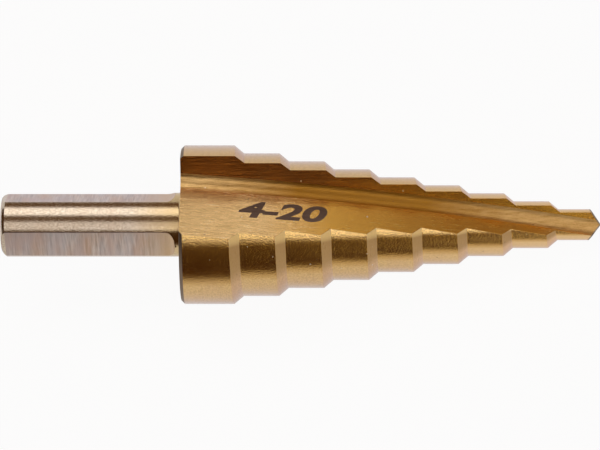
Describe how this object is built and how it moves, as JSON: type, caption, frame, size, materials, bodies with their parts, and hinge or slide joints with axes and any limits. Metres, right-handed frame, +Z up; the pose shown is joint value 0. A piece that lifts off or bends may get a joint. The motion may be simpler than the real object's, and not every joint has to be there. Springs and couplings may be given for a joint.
{
  "type": "step drill",
  "caption": "Gold-coated step drill with a stepped conical head, straight flutes and a short round shank with flats for a drill chuck.",
  "frame": {"origin": "middle of the box around the drill, on the table that it lies on", "axes": "+X along the table toward the tip, +Z up; the drill's axis lies in the XZ plane, nose down on its step corners, with one flute facing up"},
  "size_m": [0.0748, 0.0198, 0.0173],
  "materials": {
    "coated_steel": "ground high-speed steel with a thin gold titanium nitride coating, thin and heat-tinted on the shank"
  },
  "bodies": {
    "root": {"step_drill": "coated_steel"}
  },
  "joints": []
}
